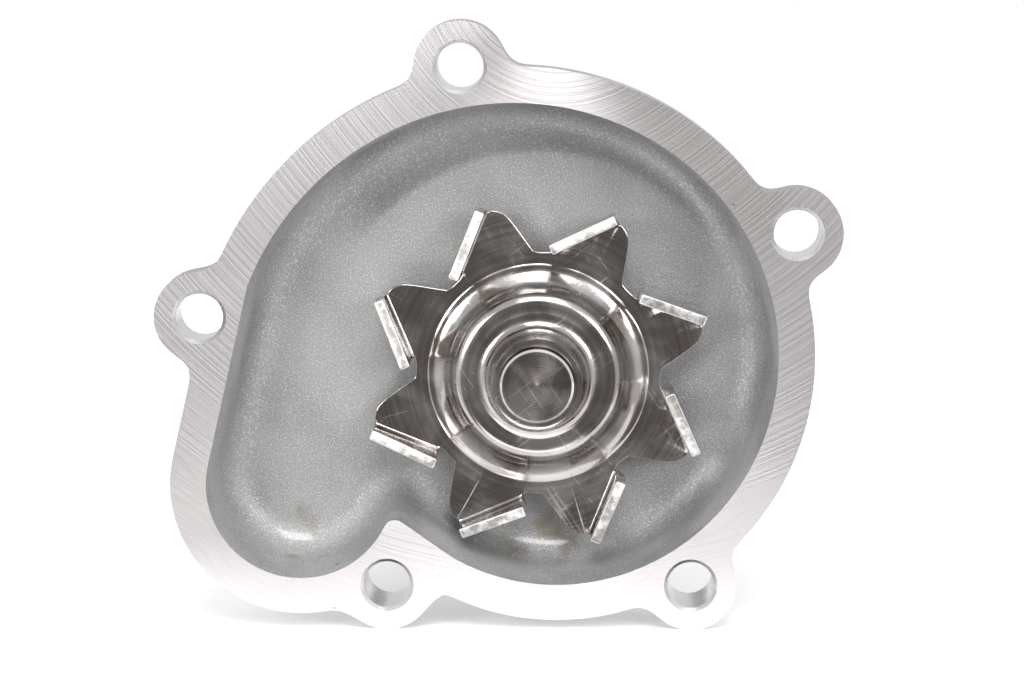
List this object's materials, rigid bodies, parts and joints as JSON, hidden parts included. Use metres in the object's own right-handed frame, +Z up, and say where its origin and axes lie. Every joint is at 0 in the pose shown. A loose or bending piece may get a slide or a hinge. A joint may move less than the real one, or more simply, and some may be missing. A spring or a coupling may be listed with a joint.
{
  "type": "water pump",
  "caption": "Engine water pump: cast scroll housing, stamped star impeller on a cartridge-bearing shaft, face seal and pulley hub.",
  "frame": {"origin": "where the shaft's axis crosses the machined gasket face", "axes": "+Y along the shaft from the engine side to the pulley, +Z up with the two thick lugs at the bottom, +X to the right seen from the engine side; the gasket face faces -Y"},
  "size_m": [0.1223, 0.0958, 0.1093],
  "materials": {
    "cast_aluminium": "grainy die casting with a milled gasket face",
    "stamped_steel": "dark rolled sheet with bright cut edges",
    "ground_steel": "ground and faced",
    "bearing_steel": "ground and polished",
    "hub_steel": "turned, lightly oiled",
    "plug_steel": "pressed sheet",
    "spring_steel": "drawn wire",
    "seal_brass": "pressed sheet",
    "black_rubber": "moulded, matt",
    "cage_nylon": "moulded",
    "carbon": "lapped carbon",
    "ceramic": "lapped ceramic"
  },
  "bodies": {
    "housing": {"pump_body": "cast_aluminium", "weep_plug": "plug_steel", "bearing_outer_ring": "bearing_steel", "front_bearing_seal": "black_rubber", "rear_bearing_seal": "black_rubber", "seal_case": "seal_brass", "seal_spring": "spring_steel", "seal_bellows": "black_rubber"},
    "rotor": {"impeller": "stamped_steel", "bearing_shaft": "ground_steel", "pulley_hub": "hub_steel", "slinger": "black_rubber", "mating_ring": "ceramic", "mating_ring_cup": "black_rubber"},
    "front_ball_row": {"front_ball_set": "bearing_steel", "front_ball_cage": "cage_nylon"},
    "rear_ball_row": {"rear_ball_set": "bearing_steel", "rear_ball_cage": "cage_nylon"},
    "seal_face": {"seal_carbon_ring": "carbon", "seal_band": "seal_brass"}
  },
  "joints": [
    {"name": "shaft_spin", "type": "hinge", "parent": "housing", "child": "rotor", "pos_m": [0, 0, 0], "axis": [0, 1, 0], "continuous": true},
    {"name": "front_balls_orbit", "type": "hinge", "parent": "housing", "child": "front_ball_row", "pos_m": [0, 0.046, 0], "axis": [0, 1, 0], "continuous": true},
    {"name": "rear_balls_orbit", "type": "hinge", "parent": "housing", "child": "rear_ball_row", "pos_m": [0, 0.066, 0], "axis": [0, 1, 0], "continuous": true},
    {"name": "seal_float", "type": "slide", "parent": "housing", "child": "seal_face", "axis": [0, 1, 0], "range_m": [0, 0.0008], "stiffness_N_per_m": 4000, "springref_m": -0.005, "deforming": ["seal_spring", "seal_bellows"]}
  ],
  "couplings": [
    {"joint": "front_balls_orbit", "follows": "shaft_spin", "ratio": 0.366},
    {"joint": "rear_balls_orbit", "follows": "shaft_spin", "ratio": 0.366}
  ]
}
